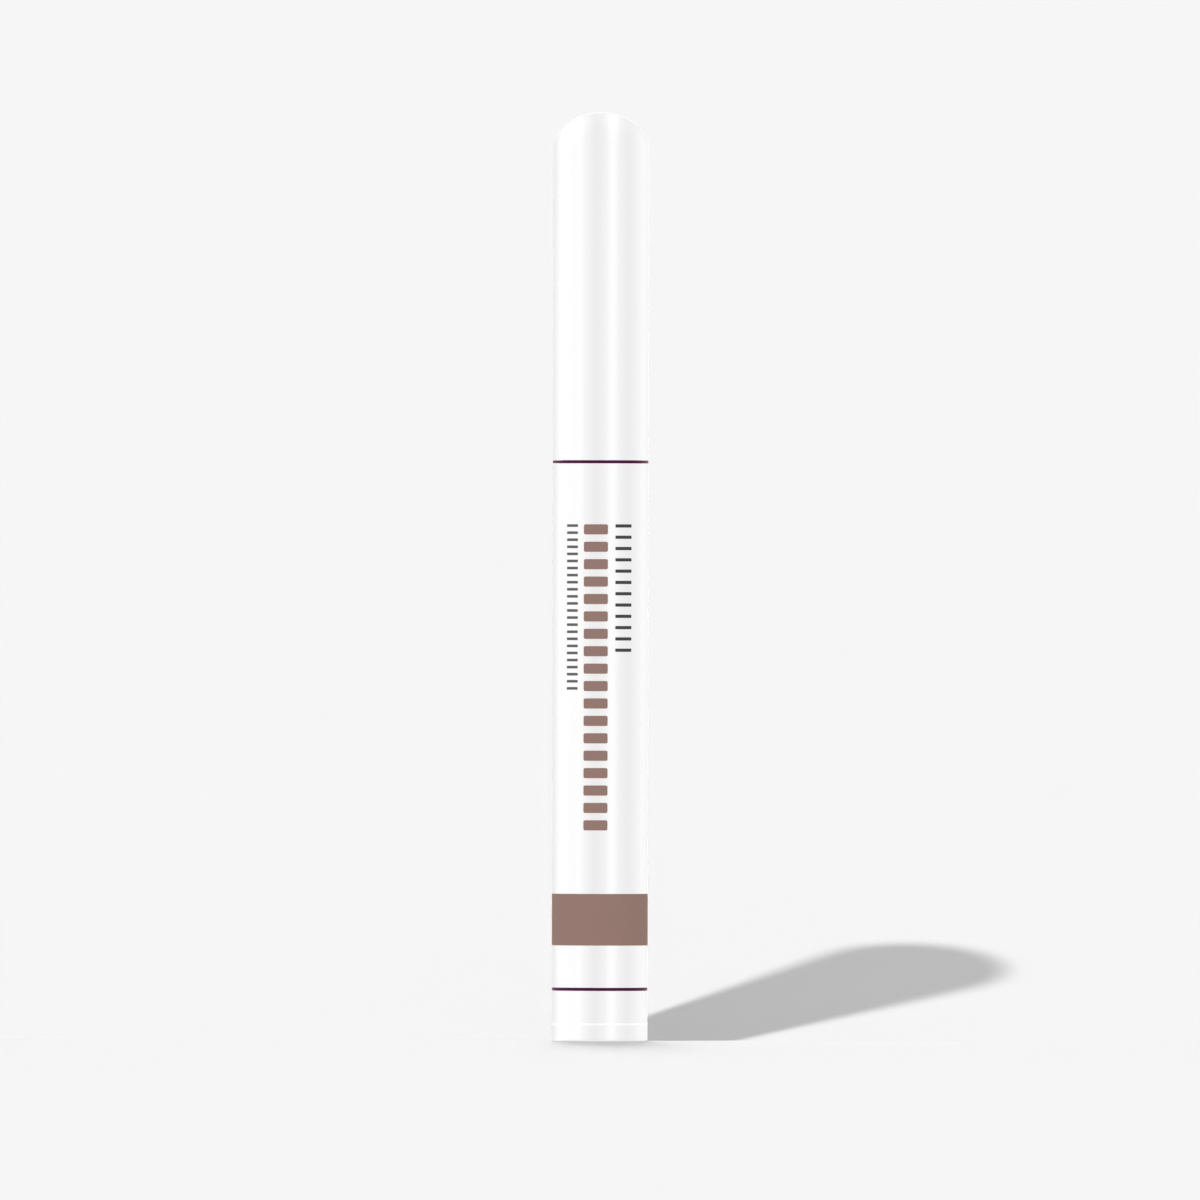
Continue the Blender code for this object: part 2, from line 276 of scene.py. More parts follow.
class PenSizes(PropertyGroup):
    """Walls, edges and facets of the pen."""

    facets: IntProperty(
        name="Facets", description="Facets round the pen", default=144, min=24, max=512
    )
    edge_softness: metres(
        "Edge softness", "Rounding of the edges of the shell", 0.00007, min=0.00001
    )
    dome_height: metres("Dome height", "Rise of the domed end of the cap", 0.0051)
    barrel_wall: metres("Barrel wall", "Thickness of the barrel", 0.0012)
    cap_wall: metres("Cap wall", "Thickness of the side of the cap", 0.00085)
    crown_wall: metres("Crown wall", "Thickness of the dome of the cap", 0.0011)
    liner_wall: metres("Liner wall", "Thickness of the inner cap", 0.00055)
    liner_dome_height: metres("Liner dome height", "Rise of the closed end of the inner cap", 0.003)
    film_wall: metres("Film thickness", "Thickness of the wrap round the reservoir", 0.0002)
    plug_wall: metres("Plug wall", "Thickness of the cup that closes the reservoir chamber", 0.001)
    bead_height: metres("Snap bead height", "How far the snap beads stand out", 0.0002)
    tip_taper: metres("Tip taper", "Length of the rounded end of a tip", 0.0042)
    tip_slant: degrees("Tip slant", "Lean of the writing face of a tip", 38)
    tip_slant_offset: metres(
        "Tip slant offset",
        "Distance of the writing face from the axis, halfway up the taper",
        0.0005,
    )


class PenPrint(PropertyGroup):
    """Band and plain bars printed on the barrel."""

    relief: metres(
        "Ink thickness", "How far the ink stands proud of the barrel", 0.000012, precision=6
    )
    band_low: metres("Band bottom", "Lower edge of the band above the base", 0.01338)
    band_high: metres("Band top", "Upper edge of the band above the base", 0.02060)
    bars_top: metres("Bars top", "Level at which all three columns of bars end", 0.07230)


class PenColours(PropertyGroup):
    """Colours of the plastics, inks and fibres."""

    shell: tint("Shell", "Glossy white of the barrel, cap and tail", (0.885, 0.885, 0.887))
    ring: tint("Trim ring", "Dark purple of the two trim rings", (0.075, 0.0018, 0.045))
    band: tint("Band ink", "Taupe ink of the band and the wide bars", (0.304, 0.195, 0.165))
    dark_ink: tint("Dark ink", "Dark grey ink of the middle bars", (0.065, 0.064, 0.065))
    pale_ink: tint("Pale ink", "Grey ink of the fine bars", (0.13, 0.132, 0.13))
    inner: tint("Inner parts", "Plain white of the moulded parts inside", (0.76, 0.76, 0.745))
    liner: tint("Inner cap", "Natural plastic of the inner cap", (0.74, 0.76, 0.76))
    film: tint("Film", "Tint of the clear wrap round the reservoir", (0.72, 0.75, 0.78))
    rod: tint("Reservoir fibre", "Bundled fibre of the reservoir", (0.80, 0.78, 0.72))
    tip: tint("Tip fibre", "Compressed fibre of the tips", (0.87, 0.86, 0.82))


class PenStudio(PropertyGroup):
    """Camera, light and floor."""

    camera_distance: metres(
        "Camera distance", "Distance of the camera from the pen", 6.0, precision=2
    )
    camera_roll: degrees("Camera roll", "Turn of the camera about its own line of sight", -0.11)
    tone: tint("Backdrop", "Pale grey of the floor and the backdrop", (0.922, 0.922, 0.922))
    ambient: brightness("Ambient light", "Light from all round, as it falls on the floor", 0.98)
    shading: brightness(
        "Shading",
        "How much more of the soft light comes from the front and left than from all round",
        0.11,
    )
    key: brightness(
        "Key lamp",
        "Light of the small lamp that casts the long shadow, against the ambient light",
        1.97,
    )
    back: brightness(
        "Back lamps", "Light of the row of lamps behind the pen, against the ambient light", 2.25
    )
    sweep_slope: degrees("Sweep slope", "Rise of the backdrop sweep behind the pen", 15.3)


class Signal:
    """One output of a shader node; arithmetic on it adds Math nodes."""

    def __init__(self, graph, socket):
        self.graph = graph
        self.socket = socket

    def __add__(self, other):
        return self.graph.math("ADD", self, other)

    def __radd__(self, other):
        return self.graph.math("ADD", other, self)

    def __sub__(self, other):
        return self.graph.math("SUBTRACT", self, other)

    def __rsub__(self, other):
        return self.graph.math("SUBTRACT", other, self)

    def __mul__(self, other):
        return self.graph.math("MULTIPLY", self, other)

    def __rmul__(self, other):
        return self.graph.math("MULTIPLY", other, self)

    def __truediv__(self, other):
        return self.graph.math("DIVIDE", self, other)

    def __rtruediv__(self, other):
        return self.graph.math("DIVIDE", other, self)

    def __abs__(self):
        return self.graph.math("ABSOLUTE", self)


class Graph:
    """The node tree of a material, a lamp or the world."""

    def __init__(self, owner):
        owner.use_nodes = True
        self.owner = owner
        self.tree = owner.node_tree
        self.tree.nodes.clear()

    def add(self, kind, settings=None, values=None, output=0):
        """A node of this type with its settings, and then values or links in its sockets.

        Gives the output that is asked for, by its name or number.
        """
        node = self.tree.nodes.new(kind)
        for name, value in (settings or {}).items():
            setattr(node, name, value)
        for name, value in (values or {}).items():
            if isinstance(value, Signal):
                self.tree.links.new(value.socket, node.inputs[name])
            else:
                node.inputs[name].default_value = value
        return Signal(self, node.outputs[output]) if node.outputs else None

    def math(self, operation, *values):
        """A Math node of this operation on these values."""
        return self.add("ShaderNodeMath", {"operation": operation}, dict(enumerate(values)))

    def vector(self, operation, *vectors, output="Vector"):
        """A Vector Math node of this operation on one or two vectors."""
        settings = {"operation": operation}
        return self.add("ShaderNodeVectorMath", settings, dict(enumerate(vectors)), output)

    def dot(self, first, second):
        """How far one vector reaches along another."""
        return self.vector("DOT_PRODUCT", first, second, output="Value")

    def smooth(self, value, start, end):
        """0 at the start value and 1 at the end value, with a soft passage between them."""
        return self.add(
            "ShaderNodeMapRange",
            {"interpolation_type": "SMOOTHSTEP"},
            {"Value": value, "From Min": start, "From Max": end},
        )

    def mix(self, factor, first, second):
        """A colour between two colours; a Mix node has its colour sockets after its other ones."""
        values = {0: factor, 6: first, 7: second}
        return self.add("ShaderNodeMix", {"data_type": "RGBA"}, values, 2)

    def shades(self, factor, colour, darker, lighter):
        """A colour between two shades of it."""
        return self.mix(factor, opaque(colour, darker), opaque(colour, lighter))

    def place(self):
        """Place on the piece, in metres."""
        return self.add("ShaderNodeTexCoord", output="Object")

    def part_of(self, vector, axis):
        """One of the three parts of a vector."""
        return self.add("ShaderNodeSeparateXYZ", values={0: vector}, output=axis)

    def noise(self, scale, detail=2.0, stretch=(1.0, 1.0, 1.0)):
        """Noise from 0 to 1 on the piece; stretch scales its pattern along each axis."""
        drawn = self.add("ShaderNodeMapping", values={"Vector": self.place(), "Scale": stretch})
        values = {"Vector": drawn, "Scale": scale, "Detail": detail}
        return self.add("ShaderNodeTexNoise", values=values, output="Fac")

    def bump(self, height, distance, under=None):
        """A normal that follows a height of this many metres, on top of another normal."""
        values = {"Height": height, "Distance": distance}
        if under:
            values["Normal"] = under
        return self.add("ShaderNodeBump", values=values)

    def surface(self, values):
        """Put a Principled surface of these values on the output; gives the material."""
        shader = self.add("ShaderNodeBsdfPrincipled", values=values)
        self.add("ShaderNodeOutputMaterial", values={"Surface": shader})
        return self.owner


def opaque(colour, shade=1.0):
    """A colour with full alpha, made darker or lighter by shade."""
    return (colour[0] * shade, colour[1] * shade, colour[2] * shade, 1.0)


def new_finish(name):
    """The graph of a fresh material."""
    old = bpy.data.materials.get(name)
    if old:
        bpy.data.materials.remove(old)
    return Graph(bpy.data.materials.new(name))


def white_gloss(name, highlight_level=None):
    """Glossy white polypropylene, with the faint cloud and ripple of a moulding."""
    graph = new_finish(name)
    cloud = graph.noise(scale=55.0, detail=3.0)
    ripple = graph.noise(scale=420.0, stretch=(1.0, 1.0, 0.25))
    grain = graph.noise(scale=5200.0)
    base = graph.shades(cloud, bpy.context.scene.pen_colours.shell, 0.992, 1.0)
    if highlight_level is not None:
        # Painted highlight: the lip over the joint is painted a purer white, a fine bright line
        level = graph.part_of(graph.place(), "Z")
        away = abs(level - highlight_level - lip_rise)
        painted_highlight = graph.smooth(away, start=lip_half_height + painted_highlight_spread, end=lip_half_height)
        base = graph.mix(painted_highlight, base, (1.0, 1.0, 1.0, 1.0))
    under = graph.bump(ripple, distance=0.0000015)
    return graph.surface({
        "Base Color": base,
        "Roughness": 0.11 + cloud * 0.05,
        "Normal": graph.bump(grain, distance=0.0000006, under=under),
        "IOR": 1.5,
    })


def ring_plastic():
    """Dark purple satin plastic of the trim rings."""
    graph = new_finish("dark_purple_plastic")
    cloud = graph.noise(scale=700.0, detail=3.0)
    return graph.surface({
        "Base Color": graph.shades(cloud, bpy.context.scene.pen_colours.ring, 0.85, 1.15),
        "Roughness": 0.34 + cloud * 0.12,
        "Normal": graph.bump(graph.noise(scale=6000.0), distance=0.000001),
        "Specular IOR Level": 0.05,
    })


def ink(name, colour):
    """Matt printing ink, very slightly uneven where it lies on the plastic."""
    graph = new_finish(name)
    cloud = graph.noise(scale=900.0, detail=4.0)
    return graph.surface({
        "Base Color": graph.shades(cloud, colour, 0.985, 1.015),
        "Roughness": 0.62 + cloud * 0.14,
        "Normal": graph.bump(graph.noise(scale=9000.0, detail=3.0), distance=0.0000015),
        "Specular IOR Level": 0.02,
    })


def moulded_plastic(name, roughness):
    """Plain white plastic, finely satin, with faint flow marks along the pen."""
    graph = new_finish(name)
    flow = graph.noise(scale=340.0, detail=3.0, stretch=(1.0, 1.0, 0.16))
    grain = graph.noise(scale=7000.0, detail=3.0)
    return graph.surface({
        "Base Color": graph.shades(flow, bpy.context.scene.pen_colours.inner, 0.965, 1.02),
        "Roughness": roughness + grain * 0.12,
        "Normal": graph.bump(grain, 0.0000035, under=graph.bump(flow, 0.000006)),
    })


def natural_plastic(name, colour, roughness, alpha):
    """Thin plastic that lets some light through."""
    graph = new_finish(name)
    cloud = graph.noise(scale=260.0, detail=3.0, stretch=(1.0, 1.0, 0.3))
    return graph.surface({
        "Base Color": graph.shades(cloud, colour, 0.95, 1.03),
        "Roughness": roughness + cloud * 0.12,
        "Normal": graph.bump(graph.noise(scale=3800.0, detail=3.0), distance=0.000003),
        "Alpha": alpha,
    })


def fibre_bundle(name, colour, across, lengthwise):
    """Fibre bundle: fine strands along Z, sunken pores between them darkened with painted shade."""
    graph = new_finish(name)
    strand = graph.noise(scale=across, detail=3.0, stretch=(1.0, 1.0, lengthwise))
    pore_and_shade = graph.smooth(graph.noise(scale=across * 0.7), start=0.62, end=0.74)
    base = graph.shades(strand, colour, 0.86, 1.06)
    # Painted shade: the sunken pores are darkened towards a deeper shade of the fibre colour
    base = graph.mix(pore_and_shade * 0.35, base, opaque(colour, 0.6))
    height = strand - pore_and_shade * 0.6
    return graph.surface({
        "Base Color": base,
        "Roughness": 0.84 + strand * 0.12,
        "Normal": graph.bump(height, distance=0.00003),
        "Specular IOR Level": 0.25,
    })


def arc_corner(before, here, after, rounding, steps=6):
    """Points of the arc that rounds one corner of an outline."""
    corner = Vector(here)
    back = (Vector(before) - corner).normalized()
    ahead = (Vector(after) - corner).normalized()
    half_angle = back.angle(ahead) / 2
    centre = corner + (back + ahead).normalized() * (rounding / math.sin(half_angle))
    setback = rounding / math.tan(half_angle)
    start = corner + back * setback - centre
    turn = start.angle_signed(corner + ahead * setback - centre)
    points = []
    for step in range(steps + 1):
        spoke = start.copy()
        spoke.rotate(Matrix.Rotation(-turn * step / steps, 2))
        points.append(tuple(centre + spoke))
    return points


def guard_point(point, goal):
    """A point close to this one on the way to a goal, so that the face beyond is shaded flat."""
    start = Vector(point)
    return tuple(start + (Vector(goal) - start).normalized() * guard_distance)


def outline(corners):
    """Points of an outline, from corners that are (radius, level, rounding), with 0 for sharp."""
    points = []
    for index, (radius, level, rounding) in enumerate(corners):
        if rounding == 0:
            points.append((radius, level))
            continue
        before = corners[index - 1][:2]
        after = corners[(index + 1) % len(corners)][:2]
        arc = arc_corner(before, (radius, level), after, rounding)
        points.extend([guard_point(arc[0], before), *arc, guard_point(arc[-1], after)])
    return points


def tube(outer, inner, low, high, edge):
    """Corners of a plain tube."""
    return [(outer, high, edge), (outer, low, edge), (inner, low, edge), (inner, high, edge)]


def dome(radius, rise, base, steps=28):
    """Corners along a quarter ellipse, from the axis out and down."""
    corners = []
    for step in range(steps, -1, -1):
        angle = math.pi / 2 * step / steps
        across = 0 if step == steps else radius * math.cos(angle)
        corners.append((across, base + rise * math.sin(angle), 0))
    return corners


def bead(radius, height, low, steps=12):
    """Corners of a rounded ring bead on a wall of this radius, from its top down."""
    corners = []
    for step in range(steps, -1, -1):
        swell = math.sin(math.pi * step / steps) ** 2
        corners.append((radius + height * swell, low + bead_length * step / steps, 0))
    return corners


def join_rings(shape, first, second):
    """Add the faces between two rings of points; a ring that is one point gets triangles."""
    for step in range(len(first)):
        following = (step + 1) % len(first)
        corners = [first[step], second[step], second[following], first[following]]
        shape.faces.new(list(dict.fromkeys(corners)))


def turn_into(shape, points, facets, axis=(0.0, 0.0)):
    """Add a body turned about an upright axis; its outline is open if it starts on the axis."""
    rings = []
    for radius, level in points:
        if radius == 0:
            rings.append([shape.verts.new((*axis, level))] * facets)
            continue
        ring = []
        for step in range(facets):
            angle = 2 * math.pi * step / facets
            x = axis[0] + radius * math.cos(angle)
            y = axis[1] + radius * math.sin(angle)
            ring.append(shape.verts.new((x, y, level)))
        rings.append(ring)
    for upper, lower in zip(rings, rings[1:]):
        join_rings(shape, upper, lower)
    if points[0][0]:
        join_rings(shape, rings[-1], rings[0])


def turns(count):
    """Rotations that set a number of like features evenly round the pen's axis."""
    return [Matrix.Rotation(2 * math.pi * index / count, 4, "Z") for index in range(count)]


def round_edges(shape, edges, rounding):
    """Round these edges of a mesh."""
    bmesh.ops.bevel(
        shape, geom=edges, offset=rounding, segments=3, affect="EDGES", profile=0.5
    )


def ribs_into(shape, inner, outer, low, high, lead):
    """Add upright ribs round the axis, with soft free edges and ends that lead in at a slope."""
    side = [(outer, low), (outer, high), (inner, high - lead), (inner, low + lead)]
    for turn in turns(rib_count):
        left, right = (
            [shape.verts.new(turn @ Vector((radius, across, level))) for radius, level in side]
            for across in (-rib_width / 2, rib_width / 2)
        )
        free_edges = []
        for row, face in ((left, shape.faces.new(left)), (right, shape.faces.new(right[::-1]))):
            free = set(row[2:])
            free_edges += [edge for edge in face.edges if free.issuperset(edge.verts)]
        join_rings(shape, left, right)
        round_edges(shape, free_edges, rib_width * rib_rounding)


def blocks_into(shape, count, inner, outer, width, low, high):
    """Add upright blocks round the axis."""
    shift = Matrix.Translation(((inner + outer) / 2, 0, (low + high) / 2))
    size = Matrix.Diagonal((outer - inner, width, high - low, 1))
    for turn in turns(count):
        bmesh.ops.create_cube(shape, size=1, matrix=turn @ shift @ size)


def new_object(name, data):
    """A new object in the scene."""
    thing = bpy.data.objects.new(name, data)
    bpy.context.scene.collection.objects.link(thing)
    return thing


def mesh_object(name, shape, material):
    """A new object in the scene from a finished mesh."""
    mesh = bpy.data.meshes.new(name)
    shape.to_mesh(mesh)
    shape.free()
    mesh.materials.append(material)
    return new_object(name, mesh)


def soften(piece):
    """Smooth shading with edges kept sharp where faces meet at a clear angle."""
    piece.data.shade_smooth()
    piece.data.set_sharp_from_angle(angle=sharp_angle)


def new_piece(name, shape, material):
    """A piece of the pen from a finished mesh."""
    old = bpy.data.objects.get(name)
    if old:
        bpy.data.objects.remove(old)
    bmesh.ops.recalc_face_normals(shape, faces=shape.faces)
    piece = mesh_object(name, shape, material)
    soften(piece)
    return piece


def turned(name, corners, material, facets=None):
    """A piece turned about the pen's axis."""
    shape = bmesh.new()
    turn_into(shape, outline(corners), facets or bpy.context.scene.pen_sizes.facets)
    return new_piece(name, shape, material)


def combine(piece, build, operation):
    """Join a helper body to a piece (UNION) or cut it out (DIFFERENCE), for good."""
    shape = bmesh.new()
    build(shape)
    bmesh.ops.recalc_face_normals(shape, faces=shape.faces)
    helper = mesh_object("helper", shape, piece.data.materials[0])
    boolean = piece.modifiers.new("combine", "BOOLEAN")
    boolean.operation = operation
    boolean.solver = "EXACT"
    boolean.object = helper
    bpy.context.view_layer.update()
    evaluated = piece.evaluated_get(bpy.context.evaluated_depsgraph_get())
    result = bpy.data.meshes.new_from_object(evaluated)
    if not result.polygons:
        raise RuntimeError(f"nothing is left of {piece.name} after the {operation.lower()}")
    shape = bmesh.new()
    shape.from_mesh(result)
    bmesh.ops.dissolve_degenerate(shape, edges=shape.edges, dist=weld_distance)
    shape.to_mesh(result)
    shape.free()
    piece.modifiers.clear()
    piece.data = result
    bpy.data.objects.remove(helper)
    soften(piece)


def settle(piece, node, body):
    """Put a piece in place of its solid, on its body."""
    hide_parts(node)
    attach(piece, body)


class PEN_OT_barrel(Operator):
    """White tube, counterbored at both ends for the ring hubs and ribbed round the reservoir"""

    bl_idname = "pen.barrel"
    bl_label = "Barrel"

    def execute(self, context):
        sizes = context.scene.pen_sizes
        soft = sizes.edge_softness
        bore = body_radius - sizes.barrel_wall
        hub_depth = ring_hub_length + end_gap
        corners = [
            (body_radius, barrel.high, soft),
            (body_radius, barrel.low, soft),
            (counterbore_radius, barrel.low, soft),
            (counterbore_radius, barrel.low + hub_depth, 0),
            (bore, barrel.low + hub_depth, soft),
            (bore, barrel.high - hub_depth, soft),
            (counterbore_radius, barrel.high - hub_depth, 0),
            (counterbore_radius, barrel.high, soft),
        ]

        def ribs(shape):
            inner = film.radius + seat_gap
            low = plug.high + end_gap
            high = section.low - end_gap
            ribs_into(shape, inner, bore + rib_bite, low, high, lead=0.001)

        piece = turned("barrel_tube", corners, white_gloss("barrel_gloss_plastic"))
        combine(piece, ribs, "UNION")
        settle(piece, "barrel", "pen_body")
        return {"FINISHED"}


class PEN_OT_trim_rings(Operator):
    """Two dark rings that show as thin lines at the joints, each with a hub inside the barrel"""

    bl_idname = "pen.trim_rings"
    bl_label = "Trim rings"

    def execute(self, context):
        material = ring_plastic()
        hub = ring_height + ring_hub_length
        for name, node, flange, up in (
            ("trim_ring_upper", "upper_trim_ring", upper_ring.high, -1),
            ("trim_ring_lower", "lower_trim_ring", lower_ring.low, 1),
        ):
            corners = [
                (ring_hub_radius, flange + up * hub, ring_edge),
                (ring_hub_radius, flange + up * ring_height, 0),
                (body_radius, flange + up * ring_height, ring_edge),
                (body_radius, flange, ring_edge),
                (ring_bore, flange, ring_edge),
                (ring_bore, flange + up * hub, ring_edge),
            ]
            settle(turned(name, corners, material), node, "pen_body")
        return {"FINISHED"}


class PEN_OT_nib_section(Operator):
    """Holder of the tip: spigot in the barrel, neck that the cap snaps on, and vented nose"""

    bl_idname = "pen.nib_section"
    bl_label = "Nib section"

    def execute(self, context):
        neck_bead = context.scene.pen_sizes.bead_height
        neck_top = barrel.high + neck_length
        land_top = neck_top + land_length
        chamber_top = rod.high + end_gap
        step = barrel.high - ring_hub_length - 2 * end_gap
        corners = [
            (nib_bore + nose_wall, section.high, nose_edge),
            (land_radius, land_top, land_edge),
            (land_radius, neck_top, thin_wall_edge),
            (neck_radius, neck_top, moulded_edge),
            *bead(neck_radius, neck_bead, cap.low + neck_bead_setback),
            (neck_radius, step, 0),
            (spigot_radius, step, step_edge),
            (spigot_radius, section.low, moulded_edge),
            (reservoir_bore, section.low, moulded_edge),
            (reservoir_bore, chamber_top, 0),
            (nib_bore, chamber_top, 0),
            (nib_bore, section.high, soft_edge),
        ]

        def vents(shape):
            inner = nib_bore - vent_depth
            outer = nib_bore + vent_depth
            low = chamber_top - end_gap
            high = section.high + end_gap
            blocks_into(shape, vent_count, inner, outer, vent_width, low, high)

        plastic = moulded_plastic("nib_section_plastic", roughness=0.3)
        piece = turned("nib_section_body", corners, plastic)
        combine(piece, vents, "DIFFERENCE")
        settle(piece, "nib_section", "pen_body")
        return {"FINISHED"}


class PEN_OT_reservoir(Operator):
    """Fibre rod that holds the remover, with a socket for the foot of the tip"""

    bl_idname = "pen.reservoir"
    bl_label = "Reservoir"

    def execute(self, context):
        socket = nib.low - seat_gap
        corners = [
            (0, socket, 0),
            (nib_bore, socket, moulded_edge),
            (nib_bore, rod.high, broad_edge),
            (rod.radius, rod.high, broad_edge),
            (rod.radius, rod.low, broad_edge),
            (0, rod.low, 0),
        ]
        colour = context.scene.pen_colours.rod
        fibre = fibre_bundle("reservoir_fibre_bundle", colour, across=3200.0, lengthwise=0.06)
        piece = turned("reservoir_rod", corners, fibre)
        settle(piece, "fibre_reservoir", "pen_body")
        return {"FINISHED"}


class PEN_OT_reservoir_film(Operator):
    """Thin clear wrap round the fibre rod"""

    bl_idname = "pen.reservoir_film"
    bl_label = "Reservoir film"

    def execute(self, context):
        inner = film.radius - context.scene.pen_sizes.film_wall
        corners = tube(film.radius, inner, film.low, film.high, film_edge)
        colour = context.scene.pen_colours.film
        plastic = natural_plastic("reservoir_clear_film", colour, roughness=0.16, alpha=0.4)
        piece = turned("reservoir_wrap", corners, plastic)
        settle(piece, "reservoir_film", "pen_body")
        return {"FINISHED"}


class PEN_OT_tail_plug(Operator):
    """Cup pressed into the barrel that closes the reservoir chamber, with a cross of ribs inside"""

    bl_idname = "pen.tail_plug"
    bl_label = "Tail plug"

    def execute(self, context):
        bore = plug_radius - context.scene.pen_sizes.plug_wall
        floor = plug.low + plug_floor
        height = plug.radius - plug_radius
        corners = [
            (0, floor, 0),
            (bore, floor, moulded_edge),
            (bore, plug.high, moulded_edge),
            (plug_radius, plug.high, moulded_edge),
            *bead(plug_radius, height, plug.high - 2 * bead_length),
            *bead(plug_radius, height, plug.low + bead_length),
            (plug_radius, plug.low, broad_edge),
            (0, plug.low, 0),
        ]

        def standoffs(shape):
            low = floor - rib_bite
            high = floor + plug_standoff
            outer = bore + rib_bite
            blocks_into(shape, standoff_count, standoff_core, outer, rib_width, low, high)
            top = high - rib_bite
            edges = [edge for edge in shape.edges if all(vert.co.z > top for vert in edge.verts)]
            round_edges(shape, edges, soft_edge)

        plastic = moulded_plastic("tail_plug_plastic", roughness=0.34)
        piece = turned("tail_plug_cup", corners, plastic)
        combine(piece, standoffs, "UNION")
        settle(piece, "tail_plug", "pen_body")
        return {"FINISHED"}


class PEN_OT_tips(Operator):
    """Bullet-shaped fibre tips with a slanted writing face: the one in use and the spares"""

    bl_idname = "pen.tips"
    bl_label = "Tips"

    def execute(self, context):
        sizes = context.scene.pen_sizes
        colour = context.scene.pen_colours.tip
        fibre = fibre_bundle("tip_compressed_fibre", colour, across=5200.0, lengthwise=0.12)
        shoulder = nib_length - sizes.tip_taper
        corners = [
            *dome(nib.radius, sizes.tip_taper, shoulder, steps=44),
            *((nib.radius, shoulder * share, 0) for share in (0.75, 0.5, 0.25)),
            (nib.radius, 0, broad_edge),
            (0, 0, 0),
        ]
        lean = sizes.tip_slant
        facing = Vector((math.cos(lean), 0, math.sin(lean)))
        halfway = Vector((0, 0, nib_length - sizes.tip_taper / 2))
        middle = halfway + facing * sizes.tip_slant_offset
        for name, node, body in (
            ("writing_tip_fibre", "nib", "writing_tip"),
            ("spare_tip_fibre_1", "spare_nib_1", "spare_tip_1"),
            ("spare_tip_fibre_2", "spare_nib_2", "spare_tip_2"),
            ("spare_tip_fibre_3", "spare_nib_3", "spare_tip_3"),
        ):
            shape = bmesh.new()
            turn_into(shape, outline(corners), tip_facets)
            solid = Solid(node)
            foot = Vector((*solid.axis, solid.low))
            for vert in shape.verts:
                beyond = (vert.co - middle).dot(facing)
                vert.co -= facing * (beyond + math.hypot(beyond, writing_face_softness)) / 2
                vert.co += foot
            settle(new_piece(name, shape, fibre), node, body)
        return {"FINISHED"}


class PEN_OT_cap_shell(Operator):
    """White domed cap, with a snap bead near its mouth and ribs that grip the inner cap"""

    bl_idname = "pen.cap_shell"
    bl_label = "Cap shell"

    def execute(self, context):
        sizes = context.scene.pen_sizes
        bore = body_radius - sizes.cap_wall
        shoulder = cap.high - sizes.dome_height
        inner_rise = sizes.dome_height - sizes.crown_wall
        bead_height = sizes.bead_height + cap_bead_extra
        corners = [
            *dome(body_radius, sizes.dome_height, shoulder, steps=48),
            (body_radius, cap.low + cap_side_row, 0),
            (body_radius, cap.low, sizes.edge_softness),
            (bore, cap.low, soft_edge),
            *reversed(bead(bore, -bead_height, cap.low + cap_bead_setback)),
            *reversed(dome(bore, inner_rise, shoulder)),
        ]

        def ribs(shape):
            inner = liner.radius + cap_rib_gap
            low = liner.low + cap_rib_setback
            high = liner.high - sizes.liner_dome_height - cap_rib_setback
            ribs_into(shape, inner, bore + rib_bite, low, high, lead=0.0008)

        plastic = white_gloss("cap_gloss_plastic")
        piece = turned("cap_dome_shell", corners, plastic)
        combine(piece, ribs, "UNION")
        settle(piece, "cap_shell", "cap")
        return {"FINISHED"}


class PEN_OT_cap_liner(Operator):
    """Inner cap of natural plastic that seals round the nib section"""

    bl_idname = "pen.cap_liner"
    bl_label = "Inner cap"

    def execute(self, context):
        sizes = context.scene.pen_sizes
        rise = sizes.liner_dome_height
        bore = liner.radius - sizes.liner_wall
        shoulder = liner.high - rise
        corners = [
            *dome(liner.radius, rise, shoulder),
            (liner.radius, liner.low, thin_wall_edge),
            (bore, liner.low, spigot_edge),
            *reversed(dome(bore, rise - sizes.liner_wall, shoulder)),
        ]
        colour = context.scene.pen_colours.liner
        plastic = natural_plastic("inner_cap_natural_plastic", colour, roughness=0.3, alpha=0.82)
        piece = turned("inner_cap_cup", corners, plastic)
        settle(piece, "cap_inner_liner", "cap")
        return {"FINISHED"}


class PEN_OT_tail_cap(Operator):
    """White sleeve with a spigot that pulls out of the barrel"""

    bl_idname = "pen.tail_cap"
    bl_label = "Tail cap"

    def execute(self, context):
        sizes = context.scene.pen_sizes
        soft = sizes.edge_softness
        shelf = tail.low + tail_sleeve_height
        bead_level = shelf + tail_bead_setback
        bore = tail_spigot_radius - tail_spigot_wall
        room = body_radius - sleeve_wall
        corners = [
            (tail_spigot_radius, tail.high, spigot_edge),
            *bead(tail_spigot_radius, sizes.bead_height, bead_level),
            (tail_spigot_radius, shelf, fine_edge),
            (body_radius, shelf, soft),
            (body_radius, tail.low, soft),
            (room, tail.low, thin_wall_edge),
            (room, shelf - sleeve_wall, 0),
            (bore, shelf - sleeve_wall, fine_edge),
            (bore, tail.high, spigot_edge),
        ]
        piece = turned("tail_sleeve", corners, white_gloss("tail_gloss_plastic"))
        settle(piece, "tail_cap", "tail")
        return {"FINISHED"}


def lip_corners(level, steps=10):
    """Corners of the fine rounded lip that covers the joint with the sleeve."""
    corners = []
    for step in range(steps + 1):
        angle = math.pi * step / steps
        radius = body_radius + lip_step + lip_swell * math.sin(angle)
        corners.append((radius, level + lip_rise + lip_half_height * math.cos(angle), 0))
    return corners


